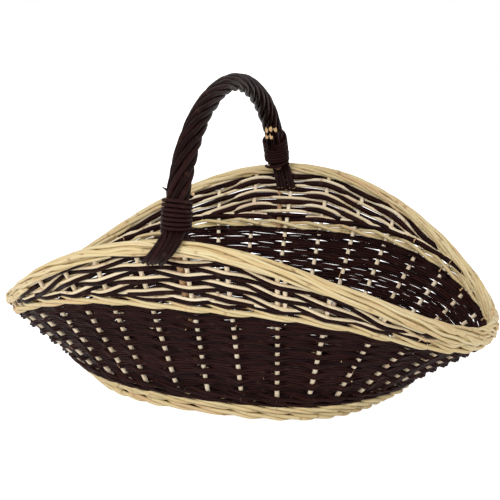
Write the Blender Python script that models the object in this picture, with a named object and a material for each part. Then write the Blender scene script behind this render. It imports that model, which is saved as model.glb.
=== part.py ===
"""A boat-shaped mushroom foraging basket of willow rods, with a saddle rim and one roped cross handle.

Metres, +Z up. X runs along the basket and Y across it, with the front at -Y. The origin is on the ground
under the middle. Angles run round the basket from +X, and most stakes stand at even angles.
"""

import math

import bmesh
import bpy
from mathutils import Matrix, Vector

# Plan and height of the wall, on the line where the border runs and on the outer edge of the foot
rim_half_length = 0.290
rim_half_width = 0.2095
rim_power = 1.951
end_height = 0.0827
side_height = 0.2147
saddle_power = 2.17
right_end_rise = 0.0018
foot_half_length = 0.1745
foot_half_width = 0.1095
foot_power = 2.362

# Rods and gaps, and how far the stakes of the right front stand round from their even places
clearance = 0.0003
stake_count = 36
stake_drift = math.radians(4.5)
stake_drift_middle = math.radians(-35)
stake_drift_reach = math.radians(45)
stake_diameter = 0.005
dark_rod_diameter = 0.0031
buff_rod_diameter = 0.0045
foot_rod_diameter = 0.0062
rod_sides = 6

# Bands of weave
foot_wale_height = 0.021
middle_wale_height = 0.0095
middle_wale_end_share = 0.866
middle_wale_side_share = 0.681
middle_wale_power = 4.254
window_rows = 4
window_height = 0.0105
window_width_share = 0.5
window_stake_step = 2
upper_weave_bays = 15
channel_overrun = 0.003
weld_distance = 0.00003
stake_foot_lift = 0.003

# Base
base_lift = 0.0012
base_weave_thickness = 0.003
base_clearance = 0.0014
cross_stick_diameter = 0.006
cross_stick_spacing = 0.046
cross_stick_count = 5
long_stick_diameter = 0.0045
long_stick_spacing = 0.0075
long_stick_count = 3

# Border: an inner, an outer and a top bundle
border_bundle_diameter = 0.0094
border_slot = 0.0014
border_low_share = 1 / 3
border_points = 60

# Handle
handle_offset = -0.0126
handle_skew_angle = math.radians(-1.547)
handle_rise = 0.1343
handle_power = 1.969
handle_lean = 0.0189
bow_foot_diameter = 0.0096
bow_top_diameter = 0.0084
bow_end_diameter = 0.0076
bow_inset = 0.005
bow_bend = 0.004
bow_sides = 8
roping_count = 7
roping_foot_diameter = 0.0054
roping_top_diameter = 0.0044
roping_turns = 1.03
roping_start_angle = math.radians(25)
handle_stations = 21

# Bindings round the feet of the handle, from low to high above the foot of its arch
binding_rod_diameter = 0.0040
binding_loop_points = 24
front_binding_low = 0.0293
front_binding_high = 0.0538
front_binding_turns = 5
back_binding_low = 0.0183
back_binding_high = 0.0473
back_binding_turns = 6

# Rods of the handle that leave it under a binding and fan over the border, counted from the far one
fan_end_diameter = 0.0042
fan_slack = 0.0008
fan_spread_shares = (0.7, 0.8, 0.88, 0.95, 1)
front_fan_rods = (4, 5, 6)
front_fan_bearings = (math.radians(50), math.radians(38), 0, math.radians(-45))
front_fan_first = -0.036
front_fan_spacing = 0.0095
front_fan_drop = 0.015
back_fan_rods = (7, 1)
back_fan_bearings = (math.radians(165), math.radians(195), math.radians(220))
back_fan_first = 0.036
back_fan_spacing = -0.015
back_fan_drop = 0.023

# Second upright beside one stake of the front
doubled_stake_number = 2
bye_stake_diameter = 0.0045
bye_stake_spacing = 0.0075
bye_stake_shortfall = 0.0015

bark_dark = (0.030, 0.015, 0.013)
bark_handle = (0.040, 0.020, 0.016)
peeled_buff = (0.72, 0.56, 0.30)
peeled_border = (0.78, 0.64, 0.38)
core_brown = (0.42, 0.18, 0.06)


def clear_scene():
    for existing in list(bpy.data.objects):
        bpy.data.objects.remove(existing, do_unlink=True)


def willow(name, colour, roughness):
    """A plain finish for one kind of rod."""
    material = bpy.data.materials.get(name)
    if material is None:
        material = bpy.data.materials.new(name)
        material.use_nodes = True
        surface = material.node_tree.nodes["Principled BSDF"]
        surface.inputs["Base Color"].default_value = (*colour, 1)
        surface.inputs["Roughness"].default_value = roughness
        surface.inputs["Metallic"].default_value = 0
    return material


def add_object(name, data, material):
    made = bpy.data.objects.new(name, data)
    bpy.context.scene.collection.objects.link(made)
    if material is not None:
        data.materials.append(material)
    return made


def add_mesh(name, built, material):
    """The object made from a bmesh, with its faces out and its round edges smooth."""
    bmesh.ops.recalc_face_normals(built, faces=built.faces)
    mesh = bpy.data.meshes.new(name)
    built.to_mesh(mesh)
    built.free()
    mesh.shade_smooth()
    mesh.set_sharp_from_angle(angle=math.radians(40))
    return add_object(name, mesh, material)


def add_loft(name, sections, closed, material):
    """A solid through sections of equally many corners, as a ring or with flat ends."""
    built = bmesh.new()
    rows = [[built.verts.new(corner) for corner in section] for section in sections]
    pairs = list(zip(rows, rows[1:]))
    if closed:
        pairs.append((rows[-1], rows[0]))
    else:
        built.faces.new(rows[0])
        built.faces.new(rows[-1])
    for near, far in pairs:
        for here in range(len(near)):
            after = (here + 1) % len(near)
            built.faces.new((near[here], near[after], far[after], far[here]))
    return add_mesh(name, built, material)


def add_rod(name, points, diameters, material, closed=False, sides=rod_sides):
    """A rod along the points, whose diameter follows them."""
    curve = bpy.data.curves.new(name, "CURVE")
    curve.dimensions = "3D"
    curve.bevel_depth = max(diameters) / 2
    curve.bevel_resolution = sides // 2 - 2
    curve.use_fill_caps = not closed
    spline = curve.splines.new("POLY")
    spline.points.add(len(points) - 1)
    spline.use_cyclic_u = closed
    for place, point, diameter in zip(spline.points, points, diameters):
        place.co = (*point, 1)
        place.radius = diameter / max(diameters)
    return add_object(name, curve, material)


def add_stick(built, low, high, diameter, sides=rod_sides):
    """A straight stick between two points, added to a bmesh."""
    direction = high - low
    turn = direction.to_track_quat("Z", "Y").to_matrix().to_4x4()
    bmesh.ops.create_cone(
        built,
        cap_ends=True,
        segments=sides,
        radius1=diameter / 2,
        radius2=diameter / 2,
        depth=direction.length,
        matrix=Matrix.Translation((low + high) / 2) @ turn,
    )


def hide_helper(helper):
    helper.hide_render = True
    helper.display_type = "WIRE"


def combine(target, helper, operation):
    """Cuts the helper from the target, or joins it on."""
    change = target.modifiers.new(operation.title(), "BOOLEAN")
    change.operation = operation
    change.solver = "EXACT"
    change.object = helper
    hide_helper(helper)


def signed_power(value, power):
    return math.copysign(abs(value) ** power, value)


def oval(angle, half_length, half_width, power):
    return Vector(
        (
            half_length * signed_power(math.cos(angle), 2 / power),
            half_width * signed_power(math.sin(angle), 2 / power),
            0,
        )
    )


def rim_point(angle):
    """The middle of the border: low at the ends and high at the sides."""
    point = oval(angle, rim_half_length, rim_half_width, rim_power)
    rise = (side_height - end_height) * abs(math.sin(angle)) ** saddle_power
    point.z = end_height + rise + right_end_rise * math.cos(angle)
    return point


def foot_point(angle):
    """Where a stake's line meets the ground, in the middle of the foot wale."""
    return oval(
        angle, foot_half_length - foot_wale_half, foot_half_width - foot_wale_half, foot_power
    )


def stake_frame(angle):
    """Directions at a stake: up along it, out of the wall, and round the wall."""
    step = math.pi / stake_count
    up = (rim_point(angle) - foot_point(angle)).normalized()
    ahead = rim_point(angle + step) + foot_point(angle + step)
    behind = rim_point(angle - step) + foot_point(angle - step)
    out = (ahead - behind).cross(up).normalized()
    return up, out, up.cross(out)


def wall_point(angle, drop, out=0, along=0):
    """A point of the wall, its drop measured down the stake from the middle of the border."""
    up, outward, onward = stake_frame(angle)
    return rim_point(angle) - drop * up + out * outward + along * onward


def stake_length(angle):
    return (rim_point(angle) - foot_point(angle)).length


def middle_wale_drop(angle):
    share = middle_wale_end_share
    share += (middle_wale_side_share - middle_wale_end_share) * abs(math.sin(angle)) ** middle_wale_power
    return (1 - share) * stake_length(angle)


def wall_point_at(angle, height, out=0):
    """The point of the wall at a height, offset out of the wall."""
    up = stake_frame(angle)[0]
    start = wall_point(angle, 0, out)
    return start + up * ((height - start.z) / up.z)


def foot_ring_point(angle, height, out):
    """A point at a height near the foot, offset level and square to the foot's outline."""
    step = math.pi / stake_count
    ahead = foot_point(angle + step) - foot_point(angle - step)
    level = Vector((ahead.y, -ahead.x, 0)).normalized()
    return wall_point_at(angle, height) + out * level


def bay_angles(middle_number, bays):
    """Angles halfway between the stakes, for this many bays about one stake."""
    return [stake_angle(middle_number - bays / 2 + step) for step in range(bays + 1)]


def stake_angle(number):
    """The angle of a stake, or of a place between two, counted from the front middle."""
    even = -math.pi / 2 + 2 * math.pi * number / stake_count
    away = min(abs(even - stake_drift_middle) / stake_drift_reach, 1)
    return even + stake_drift * math.cos(math.pi * away / 2) ** 2


def ring_angles():
    """Angles halfway between the stakes."""
    return [stake_angle(number + 1 / 2) for number in range(stake_count)]


def add_band(name, angles, low_edge, high_edge, thickness, closed, material):
    """A strip of weave between two edges, each a point for an angle and an offset."""
    half = thickness / 2
    sections = [
        [low_edge(angle, -half), low_edge(angle, half), high_edge(angle, half), high_edge(angle, -half)]
        for angle in angles
    ]
    return add_loft(name, sections, closed, material)


foot_wale_half = stake_diameter / 2 + foot_rod_diameter
lower_weave_thickness = stake_diameter + 2 * dark_rod_diameter
buff_weave_thickness = stake_diameter + 2 * buff_rod_diameter

# Middles of the border bundles, above the rim line and out of the wall
border_bundle_radius = border_bundle_diameter / 2
border_spread = (border_bundle_diameter + border_slot) / 2
border_stack = math.sqrt((border_bundle_diameter + clearance) ** 2 - border_spread**2)
border_low = border_low_share * border_stack
border_high = border_stack - border_low
border_underside = border_low + border_bundle_radius + clearance
stake_top_drop = border_low + math.sqrt(
    (border_bundle_radius + 2 * clearance) ** 2 - (border_spread - stake_diameter / 2) ** 2
)

# How far the slanted end of a roping rod reaches below the end of its middle line
roping_tilt = roping_foot_diameter / 8


def stake_ends(angle):
    low = wall_point_at(angle, stake_foot_lift)
    return low, wall_point(angle, stake_top_drop)


def add_stakes():
    for number in range(stake_count):
        name = f"stake_{number + 1:02d}"
        built = bmesh.new()
        add_stick(built, *stake_ends(stake_angle(number)), stake_diameter)
        add_mesh(name, built, willow("stake_willow", peeled_buff, 0.55))


def bye_stake_ends():
    angle = stake_angle(doubled_stake_number)
    low = wall_point(angle, middle_wale_drop(angle) + middle_wale_height / 2, along=bye_stake_spacing)
    return low, wall_point(angle, stake_top_drop + bye_stake_shortfall, along=bye_stake_spacing)


def add_bye_stake():
    built = bmesh.new()
    add_stick(built, *bye_stake_ends(), bye_stake_diameter)
    add_mesh("bye_stake_front", built, willow("stake_willow", peeled_buff, 0.55))


def channel_diameter(diameter):
    """The width across corners that leaves the clearance at the flats."""
    return (diameter + 2 * clearance) / math.cos(math.pi / rod_sides)


def add_stake_channels():
    """The space that the stakes take in the weave."""
    built = bmesh.new()
    for number in range(stake_count):
        low, high = stake_ends(stake_angle(number))
        up = (high - low).normalized()
        add_stick(
            built, low - clearance * up, high + channel_overrun * up, channel_diameter(stake_diameter)
        )
    return add_mesh("stake_channels", built, None)


def add_bye_stake_channel():
    built = bmesh.new()
    low, high = bye_stake_ends()
    up = channel_overrun * (high - low).normalized()
    add_stick(built, low - up, high + up, channel_diameter(bye_stake_diameter))
    return add_mesh("bye_stake_channel", built, None)


def add_foot_wale():
    def edge(height):
        return lambda angle, out: foot_ring_point(angle, height, out)

    return add_band(
        "foot_wale",
        ring_angles(),
        edge(0),
        edge(foot_wale_height),
        2 * foot_wale_half,
        True,
        willow("foot_willow", peeled_buff, 0.6),
    )


def add_lower_weave():
    def low_edge(angle, out):
        return wall_point_at(angle, foot_wale_height + clearance, out)

    def high_edge(angle, out):
        return wall_point(angle, lower_weave_edge_drop(angle), out)

    return add_band(
        "lower_weave",
        ring_angles(),
        low_edge,
        high_edge,
        lower_weave_thickness,
        True,
        willow("dark_willow", bark_dark, 0.4),
    )


def lower_weave_edge_drop(angle):
    return middle_wale_drop(angle) + middle_wale_height / 2 + clearance


def add_window(built, angle, middle_drop):
    """The space of one opening of the lower weave, with a stake standing in its middle."""
    half_turn = window_width_share * math.pi / stake_count
    half_depth = lower_weave_thickness / 2 + channel_overrun
    rows = []
    for out in (-half_depth, half_depth):
        rows.append(
            [
                built.verts.new(wall_point(angle + turn, middle_drop + rise, out))
                for turn, rise in (
                    (-half_turn, -window_height / 2),
                    (half_turn, -window_height / 2),
                    (half_turn, window_height / 2),
                    (-half_turn, window_height / 2),
                )
            ]
        )
    near, far = rows
    built.faces.new(near)
    built.faces.new(far)
    for here in range(len(near)):
        after = (here + 1) % len(near)
        built.faces.new((near[here], near[after], far[after], far[here]))


def add_windows():
    """Rows of openings up every second stake, where the weave lets the light through."""
    built = bmesh.new()
    for number in range(0, stake_count, window_stake_step):
        angle = stake_angle(number)
        high_drop = lower_weave_edge_drop(angle)
        low_drop = (rim_point(angle) - wall_point_at(angle, foot_wale_height)).length
        for row in range(window_rows):
            share = (row + 1 / 2) / window_rows
            add_window(built, angle, high_drop + (low_drop - high_drop) * share)
    return add_mesh("weave_windows", built, None)


def add_middle_wale():
    def edge(side):
        return lambda angle, out: wall_point(
            angle, middle_wale_drop(angle) + side * middle_wale_height / 2, out
        )

    return add_band(
        "middle_wale",
        ring_angles(),
        edge(1),
        edge(-1),
        buff_weave_thickness,
        True,
        willow("wale_willow", peeled_buff, 0.55),
    )


def add_upper_weave(name, middle_number):
    """The weave between the middle wale and the border, which runs out towards the ends."""

    def low_edge(angle, out):
        return wall_point(angle, middle_wale_drop(angle) - middle_wale_height / 2 - clearance, out)

    def high_edge(angle, out):
        return wall_point(angle, border_underside, out)

    return add_band(
        name,
        bay_angles(middle_number, upper_weave_bays),
        low_edge,
        high_edge,
        buff_weave_thickness,
        False,
        willow("upper_willow", peeled_buff, 0.55),
    )


def base_outline(height):
    """The edge of the base at a height, just inside the foot wale."""
    inset = foot_wale_half + base_clearance
    return [foot_ring_point(angle, height, -inset) for angle in ring_angles()]


def add_base_plate(name, height):
    add_loft(
        name,
        [base_outline(height), base_outline(height + base_weave_thickness)],
        False,
        willow("dark_willow", bark_dark, 0.4),
    )


def base_reach(place, along, across, height):
    """How far a base stick runs from the middle, at its place across the base."""
    end = foot_ring_point(0, height, -foot_wale_half - base_clearance).x
    side = foot_ring_point(math.pi / 2, height, -foot_wale_half - base_clearance).y
    half_sizes = (end, side)
    share = (abs(place) / half_sizes[across]) ** foot_power
    return half_sizes[along] * (1 - share) ** (1 / foot_power)


def add_sticks(name, count, spacing, diameter, along, height):
    """A row of parallel base sticks, reaching almost to the foot wale."""
    built = bmesh.new()
    across = 1 - along
    for number in range(count):
        place = spacing * (number - (count - 1) / 2)
        edge = abs(place) + diameter / 2
        reach = base_reach(edge, along, across, height - diameter / 2) - clearance
        low = Vector((0, 0, height))
        low[across] = place
        high = low.copy()
        low[along] = -reach
        high[along] = reach
        add_stick(built, low, high, diameter)
    return add_mesh(name, built, willow("stick_willow", peeled_buff, 0.6))


def add_base():
    """Cross sticks with long sticks threaded through them, between an upper and a lower face of weave."""
    stick_height = base_lift + base_weave_thickness + clearance + cross_stick_diameter / 2
    add_base_plate("base_weave_lower", base_lift)
    add_base_plate("base_weave_upper", stick_height + cross_stick_diameter / 2 + clearance)
    frame = add_sticks(
        "base_stick_frame", cross_stick_count, cross_stick_spacing, cross_stick_diameter, 1, stick_height
    )
    threaded = add_sticks(
        "long_sticks", long_stick_count, long_stick_spacing, long_stick_diameter, 0, stick_height
    )
    combine(frame, threaded, "UNION")


def border_line(out, rise):
    turns = [2 * math.pi * step / border_points for step in range(border_points)]
    return [wall_point(angle, -rise, out) for angle in turns]


def add_border():
    places = {
        "border_outer_rods": (border_spread, -border_low),
        "border_inner_rods": (-border_spread, -border_low),
        "border_top_rods": (0, border_high),
    }
    for name, (out, rise) in places.items():
        line = border_line(out, rise)
        add_rod(
            name,
            line,
            [border_bundle_diameter] * len(line),
            willow("border_willow", peeled_border, 0.5),
            closed=True,
        )


def handle_side(across):
    """The handle's place along the basket, where it is this far across."""
    return handle_offset + math.tan(handle_skew_angle) * across


def angle_at(along, side):
    """The angle of the wall at a place along the basket, at the front (-1) or the back (1)."""
    return side * math.acos(signed_power(along / rim_half_length, rim_power / 2))


def handle_angle(side):
    """The angle of the wall where the handle meets it."""
    return angle_at(handle_side(side * rim_half_width), side)


def handle_half_span():
    """From the middle to the bow's foot, just inside the border."""
    inner = wall_point(handle_angle(-1), border_low, -border_spread)
    return abs(inner.y) - border_bundle_radius - clearance - bow_foot_diameter / 2


def handle_point(turn):
    """The middle of the handle, from its front foot at 0 to its back foot at pi."""
    across = -handle_half_span() * signed_power(math.cos(turn), 2 / handle_power)
    across -= handle_lean * math.sin(turn)
    height = side_height + handle_rise * math.sin(turn) ** (2 / handle_power)
    return Vector((handle_side(across), across, height))


def handle_turn(rise, side):
    """The turn at which the handle is this far above its arch's foot, at the front (-1) or the back (1)."""
    turn = math.asin((rise / handle_rise) ** (handle_power / 2))
    return turn if side < 0 else math.pi - turn


def foot_share(turn):
    """1 at the handle's feet and 0 at its top."""
    return 1 - math.sin(turn)


def between(top, foot, turn):
    return top + (foot - top) * foot_share(turn)


def roping_end_rise():
    """How far above the arch's foot the roping rods end, just clear of the inner border bundle."""
    inner = wall_point(handle_angle(-1), border_low, -border_spread)
    return inner.z - side_height + border_bundle_radius + 2 * clearance + roping_tilt


def station_turns():
    start = handle_turn(roping_end_rise(), -1)
    return [
        start + (math.pi - 2 * start) * step / (handle_stations - 1) for step in range(handle_stations)
    ]


def bow_foot(side):
    """The bow's foot, from inside the border down to its end in the middle wale."""
    angle = handle_angle(side)
    top = handle_point(0 if side < 0 else math.pi)
    bottom_drop = middle_wale_drop(angle) + middle_wale_height / 2
    upper = wall_point(angle, border_underside, -bow_inset)
    lower = wall_point(angle, bottom_drop, -bow_inset)
    share = (abs(upper.y) - abs(top.y)) / (abs(upper.y) - abs(lower.y))
    corner = upper.lerp(lower, share)
    top.x = corner.x + (top.x - corner.x) / 2
    above = corner + bow_bend * Vector((0, 0, 1))
    below = corner + bow_bend * (lower - corner).normalized()
    return [top, above, below, lower]


def bow_foot_diameters():
    return [bow_foot_diameter, bow_foot_diameter, bow_end_diameter, bow_end_diameter]


def add_bow():
    turns = station_turns()
    arch = [handle_point(turn) for turn in turns]
    arch_diameters = [between(bow_top_diameter, bow_foot_diameter, turn) for turn in turns]
    points = bow_foot(-1)[::-1] + arch + bow_foot(1)
    diameters = bow_foot_diameters()[::-1] + arch_diameters + bow_foot_diameters()
    add_rod("handle_bow", points, diameters, willow("bow_willow", core_brown, 0.5), sides=bow_sides)


def add_bow_channel(side):
    """The space that one foot of the bow takes in the weave."""
    points = bow_foot(side)
    points[-1] = points[-1] + channel_overrun * (points[-1] - points[-2]).normalized()
    diameters = [
        (diameter + 2 * clearance) / math.cos(math.pi / bow_sides) for diameter in bow_foot_diameters()
    ]
    guide = add_rod("bow_channel_guide", points, diameters, None, sides=bow_sides)
    graph = bpy.context.evaluated_depsgraph_get()
    built = bmesh.new()
    built.from_mesh(bpy.data.meshes.new_from_object(guide.evaluated_get(graph)))
    bmesh.ops.remove_doubles(built, verts=built.verts, dist=weld_distance)
    bpy.data.objects.remove(guide, do_unlink=True)
    return add_mesh("bow_channel_front" if side < 0 else "bow_channel_back", built, None)


def around_handle(turn, radius, angle):
    """A point beside the handle's middle: angle 0 is level along +X, and pi / 2 is on the arch's inside."""
    step = math.pi / (4 * handle_stations)
    onward = (handle_point(min(turn + step, math.pi)) - handle_point(max(turn - step, 0))).normalized()
    level = Vector((1, 0, 0))
    level = (level - level.dot(onward) * onward).normalized()
    inside = level.cross(onward)
    return handle_point(turn) + radius * (math.cos(angle) * level - math.sin(angle) * inside)


def roping_radius(turn):
    bow = between(bow_top_diameter, bow_foot_diameter, turn) / 2
    rod = between(roping_top_diameter, roping_foot_diameter, turn) / 2
    return bow + clearance + rod


def handle_radius(turn):
    return roping_radius(turn) + between(roping_top_diameter, roping_foot_diameter, turn) / 2


def fan_points(side, along, drop):
    """The way of one rod from the handle over the border, to its end against the upper weave."""
    reach = border_bundle_radius + roping_foot_diameter / 2 + fan_slack
    outward = -side
    if side < 0:
        bearings = front_fan_bearings
        centres = [(0, border_high)] + [(border_spread, -border_low)] * (len(bearings) - 1)
    else:
        bearings = back_fan_bearings
        centres = [(-border_spread, -border_low)] * len(bearings)
    start = handle_side(side * rim_half_width)
    shares = fan_spread_shares[-len(bearings) - 1 :]
    angles = [angle_at(start + along * share, side) for share in shares]
    points = []
    for angle, bearing, (out, rise) in zip(angles, bearings, centres):
        points.append(
            wall_point(angle, -rise - reach * math.sin(bearing), out + reach * math.cos(bearing))
        )
    face = buff_weave_thickness / 2 + fan_end_diameter / 2 + fan_slack
    points.append(wall_point(angles[-1], drop, outward * face))
    return points


def roping_end(side, number, leave_turn):
    """The rod's points and diameters beyond the handle, or none where it stops on the border."""
    rods = front_fan_rods if side < 0 else back_fan_rods
    if number not in rods:
        return [], []
    place = rods.index(number)
    if side < 0:
        points = fan_points(side, front_fan_first + place * front_fan_spacing, front_fan_drop)
    else:
        points = fan_points(side, back_fan_first + place * back_fan_spacing, back_fan_drop)
    thick = between(roping_top_diameter, roping_foot_diameter, leave_turn)
    steps = len(points)
    diameters = [thick + (fan_end_diameter - thick) * (step + 1) / steps for step in range(steps)]
    return points, diameters


def add_roping():
    turns = station_turns()
    front_leave = handle_turn(front_binding_low - binding_rod_diameter / 2, -1)
    back_leave = handle_turn(back_binding_low - binding_rod_diameter / 2, 1)
    sweep = 2 * math.pi * roping_turns / (turns[-1] - turns[0])
    for place in range(roping_count):
        number = place + 1
        start = roping_start_angle + 2 * math.pi * place / roping_count
        front_points, front_diameters = roping_end(-1, number, front_leave)
        back_points, back_diameters = roping_end(1, number, back_leave)
        kept = list(turns)
        if front_points:
            kept = [front_leave] + [turn for turn in kept if turn > front_leave]
        if back_points:
            kept = [turn for turn in kept if turn < back_leave] + [back_leave]
        points = [
            around_handle(turn, roping_radius(turn), start + sweep * (turn - turns[0])) for turn in kept
        ]
        diameters = [between(roping_top_diameter, roping_foot_diameter, turn) for turn in kept]
        add_rod(
            f"handle_roping_{number}",
            front_points[::-1] + points + back_points,
            front_diameters[::-1] + diameters + back_diameters,
            willow("roping_willow", bark_handle, 0.45),
        )


def least_gap(points, diameter, skip):
    """The least gap between parts of a rod that lie more than skip points apart."""
    found = [
        (points[here] - points[there]).length
        for here in range(len(points))
        for there in range(here + skip, len(points))
    ]
    return min(found) - diameter


def add_binding(name, side, low, high, loops):
    """A rod wound round the handle between two heights."""
    start = handle_turn(low, side)
    sweep = handle_turn(high, side) - start
    count = binding_loop_points * loops
    points = []
    for step in range(count + 1):
        turn = start + sweep * step / count
        radius = handle_radius(turn) + clearance + binding_rod_diameter / 2
        points.append(around_handle(turn, radius, 2 * math.pi * step / binding_loop_points))
    gap = least_gap(points, binding_rod_diameter, binding_loop_points // 2)
    print(f"{name}: least gap between turns {gap * 1000:.2f} mm")
    add_rod(
        name, points, [binding_rod_diameter] * len(points), willow("binding_willow", bark_handle, 0.45)
    )


def build():
    clear_scene()
    add_stakes()
    add_bye_stake()
    stake_channels = add_stake_channels()
    bye_channel = add_bye_stake_channel()
    bow_channels = {-1: add_bow_channel(-1), 1: add_bow_channel(1)}
    combine(add_foot_wale(), stake_channels, "DIFFERENCE")
    lower_weave = add_lower_weave()
    combine(lower_weave, stake_channels, "DIFFERENCE")
    combine(lower_weave, add_windows(), "DIFFERENCE")
    middle_wale = add_middle_wale()
    front = add_upper_weave("upper_weave_front", 0)
    back = add_upper_weave("upper_weave_back", stake_count // 2)
    for band in (middle_wale, front, back):
        combine(band, stake_channels, "DIFFERENCE")
    for band in (middle_wale, front):
        combine(band, bye_channel, "DIFFERENCE")
        combine(band, bow_channels[-1], "DIFFERENCE")
    for band in (middle_wale, back):
        combine(band, bow_channels[1], "DIFFERENCE")
    add_base()
    add_border()
    add_bow()
    add_roping()
    add_binding("handle_binding_front", -1, front_binding_low, front_binding_high, front_binding_turns)
    add_binding("handle_binding_back", 1, back_binding_low, back_binding_high, back_binding_turns)


build()
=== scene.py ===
"""The looks of a boat-shaped mushroom foraging basket: each rod of its weave, border and roped handle.

Metres, +Z up. X runs along the basket and Y across it, with the front at -Y. Angles run round the
basket from +X. A stake number counts the stakes from the front middle, and a place between two stakes
is a fraction of a number. Heights up the wall are measured along the stakes from the ground.
"""

from math import asin, cos, pi, radians, sin, tan

import bpy
import numpy as np
from mathutils import Matrix, Vector


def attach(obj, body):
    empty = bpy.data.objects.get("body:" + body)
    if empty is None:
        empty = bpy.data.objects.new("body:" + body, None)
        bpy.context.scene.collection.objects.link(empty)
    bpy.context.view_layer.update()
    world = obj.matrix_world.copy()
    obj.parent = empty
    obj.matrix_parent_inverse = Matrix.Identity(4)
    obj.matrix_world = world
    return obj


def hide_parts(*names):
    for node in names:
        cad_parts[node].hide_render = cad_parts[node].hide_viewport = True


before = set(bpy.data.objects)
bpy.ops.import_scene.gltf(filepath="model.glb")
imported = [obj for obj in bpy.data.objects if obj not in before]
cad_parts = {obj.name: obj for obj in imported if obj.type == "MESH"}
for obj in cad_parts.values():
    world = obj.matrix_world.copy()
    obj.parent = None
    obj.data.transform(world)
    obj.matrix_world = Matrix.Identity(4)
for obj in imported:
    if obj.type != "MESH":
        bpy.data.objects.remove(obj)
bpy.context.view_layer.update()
chance = np.random.default_rng(11)

# Wall: the line of the border and the outer edge of the foot
rim_half_length = 0.290
rim_half_width = 0.2095
rim_power = 1.951
end_height = 0.0827
side_height = 0.2147
saddle_power = 2.17
right_end_rise = 0.0018
foot_half_length = 0.1745
foot_half_width = 0.1095
foot_power = 2.362

# Where the basket is off its even shape: by how much, at which angle in degrees, and how fast that fades
foot_corner_shares = ((0.07, -22, 8),)
wall_hollows = ((0.007, -22, 4),)
border_insets = ((0.012, -8, 6), (0.0075, -151, 12))
border_inset_power = 10
border_drops = ((0.0078, -151, 8), (0.0055, 118, 3), (0.0042, 152, 20))
border_thinnings = ((0.0008, -8, 8), (0.0012, -151, 4))
wale_shares = ((0.075, 0, 8), (0.062, 32, 6))

# Stakes, some of which lean along the wall, by degrees
stakes = 36
stake_drift = radians(4.5)
stake_drift_middle = radians(-35)
stake_drift_reach = radians(45)
stake_foot_leans = {-2: -2.2, 0: -0.9, 1: -1.5, 3: 0.6, 4: 0.9}
stake_rim_leans = {-2: -0.4, 0: 1.1, 1: -0.2, 2: -0.5, 3: -1.2, 4: 0.2}
stake_radius = 0.0025
stake_lift_share = 0.03
stake_sway = 0.0002
stake_steps = 12
bye_stake_number = 2
bye_stake_radius = 0.00225
bye_stake_spacing = 0.0075
bye_stake_overlap = 0.009

# Rods in general
steps_per_stake = 8
round_sides = 8
rod_sway_share = 0.035
knot_spacing = 0.07
knot_shift_share = 0.4
knot_length = 0.0022
knot_swelling_share = 0.09
cap_share = 0.82
cap_height_share = 0.12
slant_steepness = 1.8
grain_reach = 9
sharp_angle = radians(50)
wave_lengths = (0.031, 0.047, 0.083, 0.19)
wave_stretch_shares = (0.8, 1.25)
wave_size_shares = (0.4, 1)
wave_start_reach = 7
wave_step = 0.033
touch = 0.0001
tuck_depth = 0.002
straight_share = 0.97

# How thick single rods are, as shares of their kind's thickness
thickness_shares = {
    "foot": (0.95, 1.1),
    "lower": (0.9, 1.03),
    "upper": (0.9, 1.06),
    "rod end": (0.8, 1.1),
    "base": (0.92, 1.04),
    "end strand": (0.8, 1.05),
    "border": (0.93, 1.07),
    "handle": (0.94, 1.08),
    "fan": (0.9, 1.05),
}

# How far rods sway up or down the wall, and out of it
foot_sways = (0.0006, 0.0005)
wale_sways = (0.0003, 0.0003)
lower_sways = (0.00035, 0.0003)
upper_sways = (0.0005, 0.0004)

# Foot wale: two rounds of three rods, which rise and sink as they pass the stakes
foot_wale_half = 0.0087
foot_wale_height = 0.021
foot_wale_rounds = 2
foot_wale_pitch = 0.0053
foot_wale_reach_share = 1.15
foot_rod_radius = 0.0022
foot_core_radius = 0.0021
foot_core_count = 4
foot_core_lift_share = 1.6
wale_rods = 3
wale_rise_limit = 1.6

# Lower wall: a dark wale, then pairs of dark rods, whose heights differ on even and odd stakes. A climb is
# the first height, the first pitch, and how much the pitch shrinks
dark_wale_radius = 0.0019
dark_wale_rounds = 2
lower_courses = 18
even_climb = (0.0465, 0.0081, 0.000079)
odd_climb = (0.048, 0.0091, 0.000125)
odd_first_height = 0.0415
lower_fill_share = 1.06
lower_squeeze_share = 0.06
lower_squeeze_power = 4
lower_far_angle = 40
lower_far_power = 2
lower_far_squeeze_share = 0.28
lower_far_swelling_share = 0.09
lower_far_overlap = 0.8
lower_reach_share = 0.9
lower_sharpness = 5.5
lower_tuck_reach = 0.4

# Middle wale
wale_radius = 0.0023
wale_end_share = 0.866
wale_side_share = 0.681
wale_power = 4.254

# Upper wall: a buff rod over a dark rod in each course, measured down from the border's middle
upper_courses = 8
upper_even_drop = 0.0168
upper_even_pitch = 0.00845
upper_odd_drop = 0.0129
upper_odd_pitch = 0.0086
upper_buff_radii = {"front": 0.0017, "back": 0.0022}
upper_dark_radii = {"front": 0.0026, "back": 0.0032}
upper_reach_shares = {"front": 0.85, "back": 0.72}
upper_limits = {"left": 0.8, "front": 0.74, "back": 0.83}
upper_tuck_reach = 0.5

# How far a course runs on beside the middle wale where the wall gets too low for it, in stake spacings
run_out = (0.3, 1.6)

# Rod ends, which stand a little proud of the lower wall. Their length is in stake spacings
rod_end_count = 60
rod_end_steps = 6
rod_end_radius = 0.0012
rod_end_length = 0.45
rod_end_outside_share = 0.6
rod_end_height_shares = (0.04, 0.95)
rod_end_top_gap = 0.008
rod_end_foot_gap = 0.01
rod_end_root = 0.001
rod_end_proud = 0.0008

# End strands fill the low strip between the border and the middle wale. They reach so many stakes either
# way from the stakes at the ends of the basket
end_strand_count = 4
end_strand_radius = 0.002
end_strand_drop = 0.0072
end_strand_reaches = {9: 5.5, 27: 2.5}
end_strand_reach_shares = (0.7, 1.0)
end_strand_far_shares = (0.8, 1.0)
end_strand_tuck_reach = 1.0

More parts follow.
